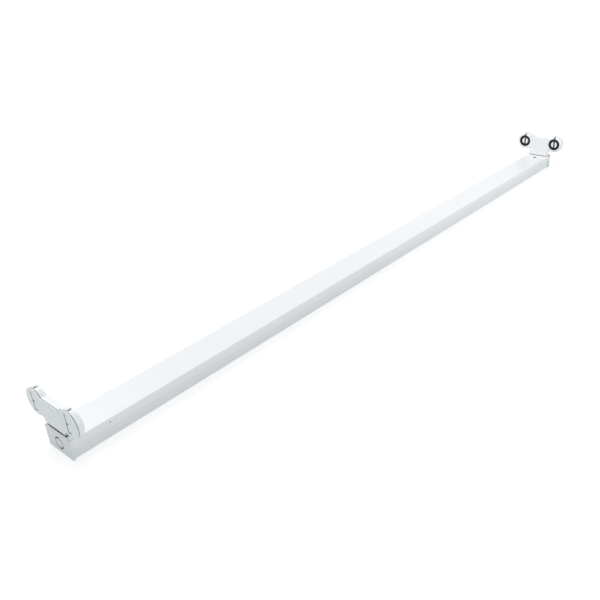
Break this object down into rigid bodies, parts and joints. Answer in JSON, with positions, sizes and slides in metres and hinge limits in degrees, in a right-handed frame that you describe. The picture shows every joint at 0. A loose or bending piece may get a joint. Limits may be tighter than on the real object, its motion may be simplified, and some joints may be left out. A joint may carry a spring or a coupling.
{
  "type": "twin tube batten light fixture",
  "caption": "Slim folded white steel batten with butterfly twin lampholders at its ends; the slotted rotors turn to lock straight tubes with two-pin caps.",
  "frame": {"origin": "middle of the ceiling face, on the plane of the tray's fixing pads", "axes": "+X along the channel, +Y across it, +Z away from the ceiling; the part lies on its back"},
  "size_m": [1.221, 0.1, 0.0705],
  "materials": {
    "white_enamel": "gloss powder coat over folded steel",
    "white_moulding": "gloss moulded polycarbonate",
    "black_moulding": "satin moulded plastic",
    "white_hub": "gloss moulded plastic",
    "spring_bronze": "bright rolled strip",
    "zinc_steel": "zinc plated",
    "dark_steel": "blackened",
    "terminal_brass": "turned",
    "natural_nylon": "natural moulded plastic",
    "black_rubber": "moulded rubber",
    "brown_insulation": "extruded insulation",
    "blue_insulation": "extruded insulation",
    "earth_insulation": "green and yellow extruded insulation"
  },
  "bodies": {
    "fixture": {"base_tray": "white_enamel", "spine_cover": "white_enamel", "cover_screws": "dark_steel", "cable_grommet": "black_rubber", "terminal_block": "natural_nylon", "terminal_clamps": "terminal_brass", "terminal_screws": "zinc_steel", "block_screw": "zinc_steel", "earth_lug": "zinc_steel", "earth_screw": "zinc_steel", "live_wire": "brown_insulation", "neutral_wire": "blue_insulation", "earth_wire": "earth_insulation", "left_end_plate": "white_enamel", "left_lampholder_housing": "white_moulding", "left_lampholder_lid": "white_moulding", "left_lid_gasket": "black_rubber", "left_foot_seal": "black_rubber", "left_contact_strip": "spring_bronze", "left_cover_bracket": "zinc_steel", "right_end_plate": "white_enamel", "right_lampholder_housing": "white_moulding", "right_lampholder_lid": "white_moulding", "right_lid_gasket": "black_rubber", "right_foot_seal": "black_rubber", "right_contact_strip": "spring_bronze", "right_cover_bracket": "zinc_steel"},
    "left_front_rotor": {"left_front_rotor_ring": "black_moulding", "left_front_rotor_hub": "white_hub"},
    "left_rear_rotor": {"left_rear_rotor_ring": "black_moulding", "left_rear_rotor_hub": "white_hub"},
    "right_front_rotor": {"right_front_rotor_ring": "black_moulding", "right_front_rotor_hub": "white_hub"},
    "right_rear_rotor": {"right_rear_rotor_ring": "black_moulding", "right_rear_rotor_hub": "white_hub"}
  },
  "joints": [
    {"name": "left_front_rotor_turn", "type": "hinge", "parent": "fixture", "child": "left_front_rotor", "pos_m": [-0.6005, -0.033, 0.0535], "axis": [1, 0, 0], "range_deg": [-90, 90]},
    {"name": "left_rear_rotor_turn", "type": "hinge", "parent": "fixture", "child": "left_rear_rotor", "pos_m": [-0.6005, 0.033, 0.0535], "axis": [1, 0, 0], "range_deg": [-90, 90]},
    {"name": "right_front_rotor_turn", "type": "hinge", "parent": "fixture", "child": "right_front_rotor", "pos_m": [0.6005, -0.033, 0.0535], "axis": [1, 0, 0], "range_deg": [-90, 90]},
    {"name": "right_rear_rotor_turn", "type": "hinge", "parent": "fixture", "child": "right_rear_rotor", "pos_m": [0.6005, 0.033, 0.0535], "axis": [1, 0, 0], "range_deg": [-90, 90]}
  ]
}
